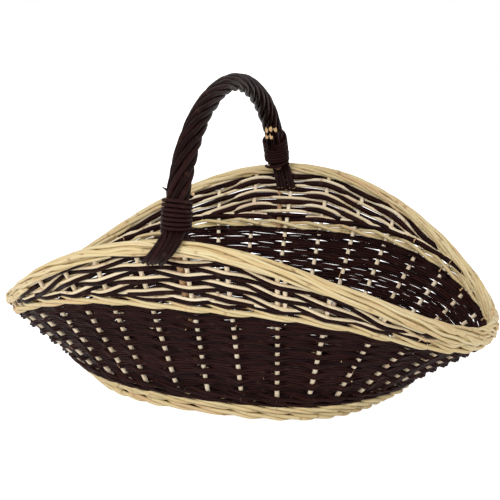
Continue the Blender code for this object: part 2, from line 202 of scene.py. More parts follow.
# Border: each strand lies along it for its span, in stake spacings, and turns over it on the way
border_strands = 47
border_strand_radius = 0.0022
border_strand_tip_radius = 0.0016
border_half_width = 0.0070
border_half_height = 0.0061
border_span = 7.5
border_span_shares = (0.9, 1.1)
border_start_turn = radians(235)
border_turn = radians(285)
border_turn_sway = 0.25
border_sway_share = 0.07
border_end_share = 0.07
border_tip_squeeze_share = 0.12
border_root_share = 0.05
border_root_drop = 0.0035
border_core_count = 3
border_core_radius = 0.0024
border_core_twist = 3

# Base: rings of rods over and under the sticks
base_rod_radius = 0.0016
base_sharpness = 3
base_fill_share = 1.5
base_swing_share = 0.55
base_middle = 0.0075
base_steps = 144
base_joint_count = 16
base_edge_rods = 4
base_edge_radius = 0.0019
base_edge_inset = 0.0098
base_edge_pitch_share = 1.8
base_edge_wave_step = 0.198
base_edge_sway = 0.0002
cross_stick_radius = 0.003
cross_stick_spacing = 0.046
cross_stick_count = 5
long_stick_radius = 0.00225
long_stick_spacing = 0.0075
long_stick_count = 3
long_stick_gap = 0.002
stick_sway = 0.0003
stick_steps = 40

# Handle: a bow with rods roped round it. Where front and back differ, -1 is the front and 1 the back
handle_offset = -0.0126
handle_skew_angle = radians(-1.547)
handle_rise = 0.1343
handle_power = 1.969
handle_lean = 0.0189
handle_top_shift = 0.0017
handle_half_span = 0.1937
handle_end_rise = 0.006
handle_thin_power = 6
handle_turn_step = 0.02
handle_rods = 8
handle_rod_foot_radius = 0.0033
handle_rod_top_radius = 0.0028
handle_rod_turns = 3.03
handle_rod_start = radians(25)
handle_rod_steps = 120
handle_rod_sway = 0.0004
handle_angle_sway = 0.06
roping_nodes = 7
bow_foot_radius = 0.0055
bow_top_radius = 0.0046
bow_end_radius = 0.0026
bow_taper_share = 0.12
bow_sides = 12
bow_steps = 24
bow_end_reaches = {-1: 0.030, 1: 0.010}
bow_end_along = {-1: 0.0, 1: 0.009}
bow_shifts = {-1: -0.003, 1: 0.0012}
bow_bend_drop = 0.012

# Fans of rods that cross the border from the handle's feet, with the first rod's and the last's angles and
# places, and the bearings at which they cross the border, in degrees
fan_rods = 5
fan_end_radius = 0.0025
fan_rises = {-1: (0.026, 0.016), 1: (0.020, 0.010)}
fan_angles = {-1: (190, 340), 1: (150, 20)}
fan_places = {-1: (-0.031, -0.0145), 1: (0.004, 0.024)}
fan_bearings = {-1: (100, 62, 25, -20), 1: (150, 180, 210)}
fan_drops = {-1: 0.0125, 1: 0.028}
fan_drop_spread = 0.002
front_fan_spread = 0.001

# Cut ends of rods above the back binding: how high, how far to the side, and how proud
cut_end_radius = 0.0024
cut_end_hidden = 0.004
cut_end_gap = 0.0004
cut_end_steps = 10
cut_ends = (
    (0.0640, -0.0022, 0.0),
    (0.0660, 0.0032, 0.0),
    (0.0635, 0.0078, 0.0),
    (0.0560, -0.0032, 0.0024),
    (0.0562, 0.0023, 0.0024),
)

# Stubs of side twigs on the handle: side, height, angle in degrees, length, and lean upwards
spurs = ((-1, 0.051, 190, 0.005, 0.003), (1, 0.057, 20, 0.006, -0.003))
spur_radii = (0.0015, 0.0005)
spur_root = 0.001
spur_bend_share = 0.1
outward_step = 0.01

# Bindings: the lowest and highest height, and the number of loops
front_binding = (0.0150, 0.0425, 7)
back_binding = (0.0115, 0.0400, 7)
binding_radius = 0.0019
binding_tail_laps = 0.45
binding_tail_rise = 0.008
binding_lap_length = 0.07
binding_lap_steps = 28
binding_sway = 0.0003
binding_start_angles = {-1: pi, 1: 0}

# Colours of peeled willow: pale, yellow, pink and brown
buff_colours = ((0.74, 0.63, 0.38), (0.66, 0.49, 0.23), (0.64, 0.37, 0.21), (0.26, 0.12, 0.05))
# The upper weave's peeled willow is paler and brighter than the rest: painted light on the upper wall,
# which lies in the border's shade
upper_lit_colours = ((0.92, 0.81, 0.60), (0.80, 0.63, 0.38), (0.70, 0.45, 0.33), (0.28, 0.13, 0.06))
stake_colours = ((0.97, 0.85, 0.66), (0.86, 0.68, 0.44), (0.80, 0.56, 0.42), (0.30, 0.14, 0.07))
bow_colours = ((0.36, 0.20, 0.10), (0.44, 0.26, 0.13), (0.22, 0.09, 0.05), (0.08, 0.03, 0.015))

# Colours of willow with its bark on: dark, light and tint. The light colour is partly the bark's own
# reddish tone and partly painted highlight. Pores, knots and cut ends are alike on all
weave_colours = ((0.004, 0.001, 0.0012), (0.032, 0.0098, 0.0080), (0.007, 0.0022, 0.0046))
handle_colours = ((0.0055, 0.0018, 0.0019), (0.029, 0.0100, 0.0088), (0.009, 0.0034, 0.0036))
pore_colour = (0.11, 0.07, 0.055)
pore_levels = (0.66, 0.74)
bark_knot_colour = (0.06, 0.03, 0.02)
cut_wood_colour = (0.78, 0.52, 0.27)

# Camera, lamps and floor
camera_place = (0.4148, -1.2958, 0.5357)
camera_azimuth = radians(17.471)
camera_elevation = radians(15.494)
camera_roll = radians(0.316)
lens_length = 89.36
sensor_width = 36.0
key_lamp = {"place": (-0.8, -1.9, 1.4), "size": 1.2, "power": 27.5}
fill_lamp = {"place": (1.8, -0.9, 1.2), "size": 1.4, "power": 10}
lamp_aim = (0, 0, 0.12)
white = (1, 1, 1)
world_strength = 0.6
floor_half = 3.0
floor_colour = (0.93, 0.93, 0.93)
floor_roughness = 0.9
floor_gloss = 0.1
floor_glow = 0.85


def signed_power(value, power):
    return np.sign(value) * np.abs(value) ** power


def oval(angle, half_length, half_width, power):
    across = half_width * signed_power(np.sin(angle), 2 / power)
    along = half_length * signed_power(np.cos(angle), 2 / power)
    return np.stack([along, across, np.zeros_like(along)], axis=-1)


def rim_line(angle):
    """The middle of the border: low at the ends and high at the sides."""
    line = oval(angle, rim_half_length, rim_half_width, rim_power)
    rise = (side_height - end_height) * np.abs(np.sin(angle)) ** saddle_power
    line[..., 2] = end_height + rise + right_end_rise * np.cos(angle)
    return line


def towards(angle, middle, power):
    """1 at a middle angle, given in degrees, and less the further from it."""
    return np.clip(np.cos(angle - radians(middle)), 0, 1) ** power


def off_shape(angle, changes):
    """How far the basket is off its even shape at an angle."""
    return sum(size * towards(angle, middle, power) for size, middle, power in changes)


def corner_scale(angle):
    """How much the foot is drawn in at its front right corner."""
    return column(1 - off_shape(angle, foot_corner_shares), angle)


def foot_line(angle):
    """Where the stakes' lines meet the ground, in the middle of the foot wale."""
    line = oval(angle, foot_half_length - foot_wale_half, foot_half_width - foot_wale_half, foot_power)
    return line * corner_scale(angle)


def unit(vectors):
    return vectors / np.linalg.norm(vectors, axis=-1, keepdims=True)


def wall_directions(angle):
    """Up along the stakes, and out of the wall."""
    step = pi / stakes
    up = unit(rim_line(angle) - foot_line(angle))
    ahead = rim_line(angle + step) + foot_line(angle + step)
    behind = rim_line(angle - step) + foot_line(angle - step)
    return up, unit(np.cross(ahead - behind, up))


def wall_length(angle):
    return np.linalg.norm(rim_line(angle) - foot_line(angle), axis=-1)


def column(values, angle):
    return np.broadcast_to(values, np.shape(angle))[..., None]


def lean_at(angle, leans):
    """How far the wall leans at an angle, from the leans of single stakes in degrees."""
    place = (angle - stake_angle(0)) / (2 * pi) * stakes
    lean = np.zeros_like(place)
    for number, degrees in leans.items():
        away = (place - number + stakes / 2) % stakes - stakes / 2
        lean = lean + radians(degrees) * np.clip(1 - np.abs(away), 0, 1)
    return lean


def wall_point(angle, height, out=0.0):
    """A point of the wall at a height up the stakes, offset out of the wall."""
    share = height / wall_length(angle)
    foot_lean = lean_at(angle, stake_foot_leans)
    angle = angle + foot_lean + (lean_at(angle, stake_rim_leans) - foot_lean) * share
    up, outward = wall_directions(angle)
    out = out - off_shape(angle, wall_hollows) * np.sin(pi * np.clip(share, 0, 1))
    out = out - off_shape(angle, border_insets) * (height / top_height(angle)) ** border_inset_power
    return foot_line(angle) + column(height, angle) * up + column(out, angle) * outward


def top_height(angle):
    """The height up the stakes of the border's middle, which dips at the left end and the back."""
    return wall_length(angle) - off_shape(angle, border_drops)


def below_rim(angle, drop, out=0.0):
    """A point of the wall at a drop down the stakes from the middle of the border."""
    return wall_point(angle, top_height(angle) - drop, out)


def foot_point(angle, height, out):
    """A point near the foot, offset level and square to its outline."""
    step = pi / stakes
    ahead = foot_line(angle + step) - foot_line(angle - step)
    level = unit(ahead[..., [1, 0, 2]] * (1, -1, 0))
    up = wall_directions(angle)[0]
    rise = np.broadcast_to(height, np.shape(angle)) / up[..., 2]
    return foot_line(angle) + rise[..., None] * up + column(out, angle) * level


def stake_angle(place):
    """The angle of a stake number, or of a place between stakes."""
    place = np.asarray(place, float)
    even = -pi / 2 + 2 * pi * (place % stakes) / stakes
    away = np.minimum(np.abs(even - stake_drift_middle) / stake_drift_reach, 1)
    laps = 2 * pi * (place // stakes)
    return even + laps + stake_drift * np.cos(pi * away / 2) ** 2


def wale_line(angle):
    """The height up the stakes of the middle wale's middle."""
    share = wale_side_share - wale_end_share
    share = wale_end_share + share * np.abs(np.sin(angle)) ** wale_power
    return (share + off_shape(angle, wale_shares)) * wall_length(angle)


def smooth(value):
    value = np.clip(value, 0, 1)
    return value * value * (3 - 2 * value)


def waver(along, size):
    """A slow random sway of about this size, for distances along a rod."""
    total = np.zeros_like(along)
    for length in wave_lengths:
        stretched = length * chance.uniform(*wave_stretch_shares)
        share = chance.uniform(*wave_size_shares)
        start = chance.uniform(0, wave_start_reach)
        total += share * np.sin(2 * pi * along / stretched + start)
    return size * total / 2


def distances(line):
    steps = np.linalg.norm(np.diff(line, axis=0), axis=1)
    return np.concatenate([[0], np.cumsum(steps)])


def through(points, steps):
    """A smooth line through some points, with this many steps between each two."""
    points = np.asarray(points, float)
    padded = np.concatenate([[2 * points[0] - points[1]], points, [2 * points[-1] - points[-2]]])
    share = np.linspace(0, 1, steps, endpoint=False)[:, None]
    line = []
    for before, start, end, after in zip(padded, padded[1:], padded[2:], padded[3:]):
        bend = 2 * before - 5 * start + 4 * end - after
        twist = 3 * start - before - 3 * end + after
        line.append(start + ((end - before) * share + bend * share**2 + twist * share**3) / 2)
    return np.concatenate(line + [points[-1:]])


def new_rods():
    return {"corners": [], "loops": [], "totals": [], "grain": [], "marks": [], "size": 0}


def side_directions(tangents):
    """A direction square to the rod at each point, which doesn't turn about it."""
    side = Vector(tangents[0]).orthogonal().normalized()
    sides = [side]
    for before, after in zip(tangents, tangents[1:]):
        side = Vector(before).rotation_difference(Vector(after)) @ side
        sides.append(side)
    return np.array(sides)


def lay_rod(rods, line, radii, knots=True, sides=round_sides, slant=None):
    """Adds a rod along a line to a piece's rods. Its far end may be cut at a slant, to face a side."""
    line = np.asarray(line, float)
    count = len(line)
    radii = np.broadcast_to(radii, count).astype(float)
    along = distances(line)
    swelling = np.zeros(count)
    if knots:
        for place in np.arange(chance.uniform(0, knot_spacing), along[-1], knot_spacing):
            place += chance.uniform(-knot_shift_share, knot_shift_share) * knot_spacing
            swelling += np.exp(-(((along - place) / knot_length) ** 2))
    radii = radii * (1 + waver(along, rod_sway_share) + knot_swelling_share * swelling)
    tangents = unit(np.gradient(line, axis=0))
    side = side_directions(tangents)
    other = np.cross(tangents, side)
    turn = 2 * pi * np.arange(sides) / sides
    cross = np.stack([np.cos(turn), np.sin(turn)], axis=-1)
    ring = cross[None, :, 0, None] * side[:, None] + cross[None, :, 1, None] * other[:, None]
    corners = line[:, None] + radii[:, None, None] * ring
    first = line[0] - tangents[0] * radii[0] * cap_height_share + cap_share * radii[0] * ring[0]
    last = line[-1] + tangents[-1] * radii[-1] * cap_height_share + cap_share * radii[-1] * ring[-1]
    if slant is not None:
        slope = -slant_steepness * radii[-1] * (ring[-1] @ slant)
        corners[-1] += slope[:, None] * tangents[-1]
        last += cap_share * slope[:, None] * tangents[-1]
    lengths = np.concatenate([along[:1], along, along[-1:]])
    widths = np.concatenate([cap_share * radii[:1], radii, cap_share * radii[-1:]])
    shift = chance.uniform(0, grain_reach, 3)
    grain = np.empty((count + 2, sides, 3))
    grain[..., :2] = widths[:, None, None] * cross + shift[:2]
    grain[..., 2] = lengths[:, None] + shift[2]
    marks = np.zeros((count + 2, sides, 3))
    marks[..., 0] = chance.uniform(0, 1)
    marks[[0, -1], :, 1] = 1
    marks[1:-1, :, 2] = swelling[:, None]
    join_rings(rods, np.concatenate([first[None], corners, last[None]]), grain, marks)


def join_rings(rods, rings, grain, marks):
    """Adds a rod's rings of corners to a piece, with faces between them and over both ends."""
    count, sides = rings.shape[:2]
    start = rods["size"]
    row = start + sides * np.arange(count - 1)[:, None]
    near = row + np.arange(sides)
    after = row + (np.arange(sides) + 1) % sides
    quads = np.stack([near, after, after + sides, near + sides], axis=-1).reshape(-1)
    bottom = near[0, ::-1]
    top = near[-1] + sides
    rods["corners"].append(rings.reshape(-1, 3))
    rods["grain"].append(grain.reshape(-1, 3))
    rods["marks"].append(marks.reshape(-1, 3))
    rods["loops"].append(np.concatenate([quads, bottom, top]))
    rods["totals"].append(np.array([4] * near.size + [sides, sides]))
    rods["size"] = start + sides * count


def add_object(name, data):
    thing = bpy.data.objects.new(name, data)
    bpy.context.scene.collection.objects.link(thing)
    return thing


def add_piece(name, rods, material, replaced=()):
    """Makes a piece of some rods, which rides on the basket."""
    mesh = bpy.data.meshes.new(name)
    corners = np.concatenate(rods["corners"])
    loops = np.concatenate(rods["loops"])
    totals = np.concatenate(rods["totals"])
    mesh.vertices.add(len(corners))
    mesh.vertices.foreach_set("co", corners.reshape(-1))
    mesh.loops.add(len(loops))
    mesh.loops.foreach_set("vertex_index", loops)
    mesh.polygons.add(len(totals))
    mesh.polygons.foreach_set("loop_start", np.concatenate([[0], np.cumsum(totals)[:-1]]))
    mesh.polygons.foreach_set("loop_total", totals)
    for attribute in ("grain", "marks"):
        values = mesh.attributes.new(attribute, "FLOAT_VECTOR", "POINT")
        values.data.foreach_set("vector", np.concatenate(rods[attribute]).reshape(-1))
    mesh.update(calc_edges=True)
    mesh.shade_smooth()
    mesh.set_sharp_from_angle(angle=sharp_angle)
    mesh.materials.append(material)
    piece = add_object(name, mesh)
    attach(piece, "root")
    if replaced:
        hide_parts(*replaced)


# Materials
class Nodes:
    """Short calls for building the nodes round the shader of a material or the world."""

    def __init__(self, owner, shader="Principled BSDF"):
        owner.use_nodes = True
        self.owner = owner
        self.tree = owner.node_tree
        self.shader = self.tree.nodes[shader]

    def add(self, kind, values=(), **settings):
        node = self.tree.nodes.new(kind)
        for name, value in settings.items():
            setattr(node, name, value)
        for name, value in dict(values).items():
            self.put(node.inputs[name], value)
        return node

    def put(self, socket, value):
        """Links a socket to another node's, or sets its value. Colours are opaque."""
        if isinstance(value, bpy.types.NodeSocket):
            self.tree.links.new(value, socket)
        else:
            socket.default_value = (*value, 1) if socket.type == "RGBA" else value

    def set(self, name, value):
        self.put(self.shader.inputs[name], value)

    def attribute(self, name):
        return self.add("ShaderNodeAttribute", attribute_name=name).outputs["Vector"]

    def parts(self, vector):
        return self.add("ShaderNodeSeparateXYZ", {"Vector": vector}).outputs

    def noise(self, vector, across, along, detail=3.0):
        """A noise with about this many grains to the metre across a rod and along it."""
        scales = {0: vector, 1: (across, across, along)}
        scaled = self.add("ShaderNodeVectorMath", scales, operation="MULTIPLY").outputs["Vector"]
        values = {"Vector": scaled, "Scale": 1.0, "Detail": detail, "Roughness": 0.6}
        return self.add("ShaderNodeTexNoise", values).outputs["Fac"]

    def ramp(self, value, low, high):
        values = {"Value": value, "From Min": low, "From Max": high}
        return self.add("ShaderNodeMapRange", values, interpolation_type="SMOOTHSTEP").outputs["Result"]

    def scaled(self, value, factor, added=0.0):
        values = {0: value, 1: factor, 2: added}
        return self.add("ShaderNodeMath", values, operation="MULTIPLY_ADD").outputs["Value"]

    def mix(self, share, one, other):
        """A mix of two colours. The node's sockets for colours go by number, as their names repeat."""
        return self.add("ShaderNodeMix", {0: share, 6: one, 7: other}, data_type="RGBA").outputs[2]

    def layers(self, colour, layers):
        """Lays colours over one: none where a pattern is low, and the most where it is high."""
        for over, pattern, low, high, most in layers:
            colour = self.mix(self.scaled(self.ramp(pattern, low, high), most), colour, over)
        return colour

    def bump(self, height, strength, distance):
        values = {"Height": height, "Strength": strength, "Distance": distance}
        return self.add("ShaderNodeBump", values).outputs["Normal"]

    def show_behind(self, other):
        """Shows another shader to the rays that see the background, straight or in a gloss."""
        path = self.add("ShaderNodeLightPath").outputs
        seen = path["Is Camera Ray"]
        for ray in ("Is Glossy Ray", "Is Transmission Ray"):
            seen = self.add("ShaderNodeMath", {0: seen, 1: path[ray]}, operation="MAXIMUM").outputs["Value"]
        output = self.shader.outputs[0].links[0].to_node
        shaders = {0: seen, 1: self.shader.outputs[0], 2: other.outputs[0]}
        self.put(output.inputs["Surface"], self.add("ShaderNodeMixShader", shaders).outputs["Shader"])


def bark(name, colours, roughness):
    """Willow with its bark on: dark, with lighter reddish streaks that are partly painted highlight, small
    pale pores and pale cut ends.
    """
    dark, pale_bark_and_highlight, tint = colours
    nodes = Nodes(bpy.data.materials.new(name))
    grain = nodes.attribute("grain")
    tone, cut, knot = nodes.parts(nodes.attribute("marks"))
    streaks = nodes.noise(grain, across=900, along=60)
    patches = nodes.noise(grain, across=120, along=25)
    pores = nodes.noise(grain, across=1500, along=900, detail=1.0)
    # The light colour in streaks and rod tones is partly the bark's own and partly painted highlight
    layers = (
        (pale_bark_and_highlight, streaks, 0.35, 0.75, 1.0),
        (tint, patches, 0.45, 0.7, 0.7),
        (pale_bark_and_highlight, tone, 0.35, 1.0, 0.55),
        (pore_colour, pores, *pore_levels, 0.3),
        (bark_knot_colour, knot, 0.2, 1.0, 0.4),
    )
    nodes.set("Base Color", nodes.mix(cut, nodes.layers(dark, layers), cut_wood_colour))
    nodes.set("Roughness", nodes.scaled(nodes.ramp(streaks, 0.2, 0.8), 0.2, roughness))
    relief = nodes.scaled(streaks, 0.6, nodes.scaled(nodes.ramp(pores, *pore_levels), 0.5))
    nodes.set("Normal", nodes.bump(relief, strength=0.5, distance=0.0003))
    nodes.set("Specular IOR Level", 0.04)
    return nodes.owner


def peeled(name, colours, roughness):
    """Willow without its bark: cream, with yellow and pink streaks along the rod and brown knots."""
    pale, yellow, pink, brown = colours
    nodes = Nodes(bpy.data.materials.new(name))
    grain = nodes.attribute("grain")
    tone, cut, knot = nodes.parts(nodes.attribute("marks"))
    streaks = nodes.noise(grain, across=700, along=22)
    fibres = nodes.noise(grain, across=2600, along=90, detail=4.0)
    patches = nodes.noise(grain, across=90, along=14)
    stains = nodes.noise(grain, across=260, along=55)
    layers = (
        (yellow, streaks, 0.35, 0.7, 1.0),
        (yellow, tone, 0.3, 0.8, 0.45),
        (brown, tone, 0.7, 1.0, 0.16),
        (pink, patches, 0.55, 0.72, 0.6),
        (brown, stains, 0.64, 0.76, 0.6),
        (brown, fibres, 0.5, 0.85, 0.25),
        (brown, knot, 0.3, 1.0, 0.55),
    )
    nodes.set("Base Color", nodes.mix(nodes.scaled(cut, 0.7), nodes.layers(pale, layers), brown))
    nodes.set("Roughness", nodes.scaled(fibres, 0.15, roughness))
    nodes.set("Normal", nodes.bump(nodes.scaled(streaks, 0.7, fibres), strength=0.35, distance=0.0002))
    nodes.set("Specular IOR Level", 0.35)
    return nodes.owner


stake_wood = peeled("stake_wood", stake_colours, 0.5)
foot_wood = peeled("foot_wood", buff_colours, 0.55)
wale_wood = peeled("wale_wood", buff_colours, 0.5)
# The upper weave's wood is painted brighter, as painted light on the shaded upper wall
upper_lit_wood = peeled("upper_lit_wood", upper_lit_colours, 0.48)
border_wood = peeled("border_wood", buff_colours, 0.45)
stick_wood = peeled("stick_wood", buff_colours, 0.55)
core_wood = peeled("core_wood", bow_colours, 0.5)
weave_bark = bark("weave_bark", weave_colours, 0.36)
handle_bark = bark("handle_bark", handle_colours, 0.34)


# Weave
def stretch(start, end):
    """The places from one to another, with their angles and the distances along a rod."""
    count = max(2, int(round((end - start) * steps_per_stake)) + 1)
    place = np.linspace(start, end, count)
    return place, stake_angle(place), place * wave_step


def varied(radius, kind):
    """The thickness of a single rod of a kind, which differs at random."""
    return radius * chance.uniform(*thickness_shares[kind])


def even_odd(place, even, odd):
    """A value that is even at even stakes and odd at odd ones, and passes smoothly between them."""
    share = (1 + np.cos(pi * place)) / 2
    return odd + (even - odd) * share


def climbed(climb, steps):
    first, pitch, loss = climb
    return first + pitch * steps - loss * steps**2


def lower_height(course, place):
    """The height up the stakes of a course of the lower wall, counted from 1."""
    odd = max(climbed(odd_climb, course - 2), odd_first_height)
    return even_odd(place, climbed(even_climb, course - 1), odd)


def lower_radius(course):
    pitch = (lower_height(course + 1, 0.5) - lower_height(course - 1, 0.5)) / 2
    return lower_fill_share * pitch / 4


def fitting_runs(fits):
    """Where the rods of a course start and end: at two halves, or at each stretch where it fits."""
    marks = np.arange(stakes * steps_per_stake) / steps_per_stake
    inside = fits(marks, stake_angle(marks))
    if inside.all():
        first = int(chance.integers(0, stakes))
        half = stakes / 2
        return [(first, first + half), (first + half, first + 2 * half)]
    runs = []
    start = int(np.flatnonzero(~inside)[0])
    rolled = np.roll(inside, -start)
    edges = np.flatnonzero(np.diff(np.concatenate([[0], rolled.astype(int), [0]])))
    for first, last in zip(edges[::2], edges[1::2]):
        if last - first > steps_per_stake:
            extra = chance.uniform(*run_out, 2)
            ends = (start + np.array([first, last - 1])) / steps_per_stake
            runs.append((ends[0] - extra[0], ends[1] + extra[1]))
    return runs


def side_of(course, place):
    """1 where a course passes outside a stake, and -1 where it passes inside."""
    return np.cos(pi * (place + course))


def straight_side_of(course, place):
    """The same for rods that run straight from stake to stake."""
    return np.arcsin(straight_share * side_of(course, place)) / asin(straight_share)


def tucked(place, start, end, reach):
    """How far a rod is drawn into the wall: most at its ends, and not at all beyond this reach."""
    nearest = np.minimum(place - start, end - place)
    return tuck_depth * (1 - smooth(nearest / reach))


def lay_foot_wale():
    rods = new_rods()
    for level in range(foot_wale_rounds):
        middle = foot_wale_pitch * (1 + 2 * level)
        for number in range(wale_rods):
            place, angle, along = stretch(number + level, number + level + stakes)
            out, rise = wale_offsets(place - number - level, foot_rod_radius)
            height = middle + foot_wale_pitch * rise / 2 + waver(along, foot_sways[0])
            height = np.clip(height, foot_rod_radius, foot_wale_height - foot_rod_radius)
            line = foot_point(angle, height, foot_wale_reach_share * out + waver(along, foot_sways[1]))
            lay_rod(rods, line, varied(foot_rod_radius, "foot"))
    add_piece("foot_wale_rods", rods, foot_wood, ["foot_wale"])


def wale_offsets(place, radius):
    """The way of one of three rods: outside two stakes, inside the third, sinking as it goes."""
    share = (place / wale_rods + 1 / 6) % 1
    reach = stake_radius + radius
    out = np.where(share < 1 / 6, -np.cos(pi * (share + 1 / 6) * 3), 1)
    out = np.where(share > 1 / 2, np.cos(pi * (share - 1 / 2) * 3), out)
    rise = np.clip(np.interp(share, [0, 2 / 3, 1], [2, -2, 2]), -wale_rise_limit, wale_rise_limit)
    return reach * out, rise


def lay_wale(rods, radius, height_of, shift):
    """One round of three rods along a line of the wall."""
    for number in range(wale_rods):
        place, angle, along = stretch(number + shift, number + shift + stakes)
        out, rise = wale_offsets(place - number, radius)
        height = height_of(angle) + radius * rise + waver(along, wale_sways[0])
        line = wall_point(angle, height, out + waver(along, wale_sways[1]))
        lay_rod(rods, line, radius - touch)


def lay_pair(rods, course, start, end, radius):
    """A pair of rods, one on the other, woven between two places of the wall."""
    for side in (-1, 1):
        place, angle, along = stretch(start, end)
        limit = wale_line(angle) - 2 * wale_radius - (2 - side) * radius
        near = np.cos(pi * place) ** lower_squeeze_power
        far = towards(angle, lower_far_angle, lower_far_power)
        squeeze = (lower_squeeze_share + lower_far_squeeze_share * far) * near
        height = np.minimum(lower_height(course, place) + side * radius * (1 - squeeze), limit)
        height = height + waver(along, lower_sways[0])
        reach = lower_reach_share * (stake_radius + radius)
        out = reach * signed_power(side_of(course, place), lower_sharpness)
        out = out - tucked(place, start, end, lower_tuck_reach) + waver(along, lower_sways[1])
        thick = radius * (1 + lower_far_swelling_share * far)
        lay_rod(rods, wall_point(angle, height, out), varied(thick, "lower"))


def top_room(angle):
    """The room that a course needs under the middle wale, in radii: less at the back, where rods crowd."""
    return np.where(np.sin(angle) < 0, 1, -lower_far_overlap)


def lay_lower_weave():
    rods = new_rods()
    for level in range(dark_wale_rounds):
        middle = dark_wale_radius * (2 + 4 * level)
        lay_wale(
            rods,
            dark_wale_radius,
            lambda angle: foot_wale_height / wall_directions(angle)[0][..., 2] + middle,
            level,
        )
    for course in range(1, lower_courses + 1):
        radius = lower_radius(course)
        runs = fitting_runs(
            lambda place, angle: lower_height(course, place) + radius * top_room(angle)
            < wale_line(angle)
        )
        for start, end in runs:
            lay_pair(rods, course, start, end, radius)
    add_piece("lower_weave_rods", rods, weave_bark, ["lower_weave"])


def lay_middle_wale():
    rods = new_rods()
    lay_wale(rods, wale_radius, wale_line, 0)
    add_piece("middle_wale_rods", rods, wale_wood, ["middle_wale"])


def upper_drop(course, place):
    even = upper_even_drop + upper_even_pitch * course
    odd = upper_odd_drop + upper_odd_pitch * course
    return even_odd(place, even, odd)


def between_ends(angle):
    """Where the upper wall is high enough for its weave."""
    right_limit = np.where(np.sin(angle) < 0, upper_limits["front"], upper_limits["back"])
    return (np.cos(angle) < right_limit) & (np.cos(angle) > -upper_limits["left"])


def lay_upper_pair(buffs, darks, course, start, end):
    """A buff rod over a dark rod, woven between two places of the wall."""
    from_back = abs((start + end) / 2 % stakes - stakes / 2)
    side = "front" if from_back > stakes / 4 else "back"
    place, angle, along = stretch(start, end)
    lowest = top_height(angle) - wale_line(angle) - 2 * wale_radius
    buff_radius = upper_buff_radii[side]
    dark_radius = upper_dark_radii[side]
    pair = ((buffs[side], buff_radius, -dark_radius, 3), (darks[side], dark_radius, buff_radius, 1))
    for rods, radius, offset, room in pair:
        drop = upper_drop(course, place) + offset + waver(along, upper_sways[0])
        drop = np.minimum(drop, lowest - room * radius)
        reach = upper_reach_shares[side] * (stake_radius + radius + touch)
        out = reach * straight_side_of(course, place) - tucked(place, start, end, upper_tuck_reach)
        line = below_rim(angle, drop, out + waver(along, upper_sways[1]))
        lay_rod(rods, line, varied(radius, "upper"))


def lay_upper_weave():
    buffs = {"front": new_rods(), "back": new_rods()}
    darks = {"front": new_rods(), "back": new_rods()}
    for course in range(-1, upper_courses):
        runs = fitting_runs(
            lambda place, angle: (top_height(angle) - upper_drop(course, place) > wale_line(angle))
            & between_ends(angle)
        )
        for start, end in runs:
            lay_upper_pair(buffs, darks, course, start, end)
    for side in ("front", "back"):
        node = f"upper_weave_{side}"
        add_piece(f"upper_buff_rods_{side}", buffs[side], upper_lit_wood, [node])
        add_piece(f"upper_dark_rods_{side}", darks[side], weave_bark)


def lay_stakes():
    rods = new_rods()
    for number in range(stakes):
        angle = np.full(stake_steps, stake_angle(number))
        top = top_height(angle) - border_root_drop
        height = np.linspace(stake_lift_share, 1, stake_steps) * top
        line = wall_point(angle, height, waver(height, stake_sway))
        lay_rod(rods, line, stake_radius)
    angle = np.full(stake_steps, stake_angle(bye_stake_number))
    low = wale_line(angle) - wale_radius * 2 - bye_stake_overlap
    height = low + np.linspace(0, 1, stake_steps) * (top_height(angle) - border_root_drop - low)
    up, outward = wall_directions(angle)
    line = wall_point(angle, height) + bye_stake_spacing * np.cross(up, outward)
    lay_rod(rods, line, bye_stake_radius)
    names = [f"stake_{number + 1:02d}" for number in range(stakes)]
    add_piece("stake_rods", rods, stake_wood, names + ["bye_stake_front"])


def base_size():
    """Half the length and half the width of the base, inside the foot wale."""
    edge = foot_point(np.array([pi, pi / 2]), base_middle, -foot_wale_half)
    return -edge[0, 0], edge[1, 1]


def lay_base_rings(rods):
    """Rings of rods that pass over and under the cross sticks in turn."""
    angle = np.linspace(0, 2 * pi, base_steps + 1)
    last = cross_stick_spacing * (cross_stick_count - 1) / 2
    half_length, half_width = base_size()
    inset = base_rod_radius + touch
    ring = 0
    while inset < half_width - base_rod_radius:
        line = oval(angle, half_length - inset, half_width - inset, foot_power) * corner_scale(angle)
        beyond = np.maximum(np.abs(line[:, 0]) - last, 0) / (half_length - inset - last)
        crossings = np.minimum(np.abs(line[:, 0]), last) / cross_stick_spacing + beyond
        swing = signed_power(np.cos(pi * (crossings + ring)), base_sharpness)
        line[:, 2] = base_middle + base_swing_share * (cross_stick_radius + base_rod_radius) * swing
        shift = base_steps // base_joint_count * (ring % base_joint_count)
        radius = varied(base_fill_share * base_rod_radius, "base")
        lay_rod(rods, np.roll(line[:-1], shift, axis=0), radius)
        inset += 2 * base_rod_radius + touch
        ring += 1


def lay_base_edge(rods):
    """Rods over the base's edge, and the core of the foot wale."""
    angle = np.linspace(0, 2 * pi, base_steps + 1)
    for level in range(base_edge_rods):
        height = base_middle + cross_stick_radius + base_edge_radius * (1 + base_edge_pitch_share * level)
        out = waver(angle * base_edge_wave_step, base_edge_sway) - base_edge_inset
        lay_rod(rods, foot_point(angle, height, out), base_edge_radius)
    for level in range(foot_core_count):
        height = foot_core_radius * (foot_core_lift_share + 2 * level)
        lay_rod(rods, foot_point(angle, height, 0), foot_core_radius)


def lay_base_weave():
    rods = new_rods()
    lay_base_rings(rods)
    lay_base_edge(rods)
    add_piece("base_rods", rods, weave_bark, ["base_weave_lower", "base_weave_upper"])


def lay_base_sticks():
    rods = new_rods()
    half_length, half_width = base_size()
    for number in range(cross_stick_count):
        along = cross_stick_spacing * (number - (cross_stick_count - 1) / 2)
        share = (abs(along) + cross_stick_radius) / half_length
        reach = half_width * (1 - share**foot_power) ** (1 / foot_power) - touch
        lay_stick(rods, (along, -reach), (along, reach), cross_stick_radius)
    reach = half_length - long_stick_gap
    for number in range(long_stick_count):
        across = long_stick_spacing * (number - (long_stick_count - 1) / 2)
        lay_stick(rods, (-reach, across), (reach, across), long_stick_radius)
    add_piece("base_sticks", rods, stick_wood, ["base_stick_frame"])


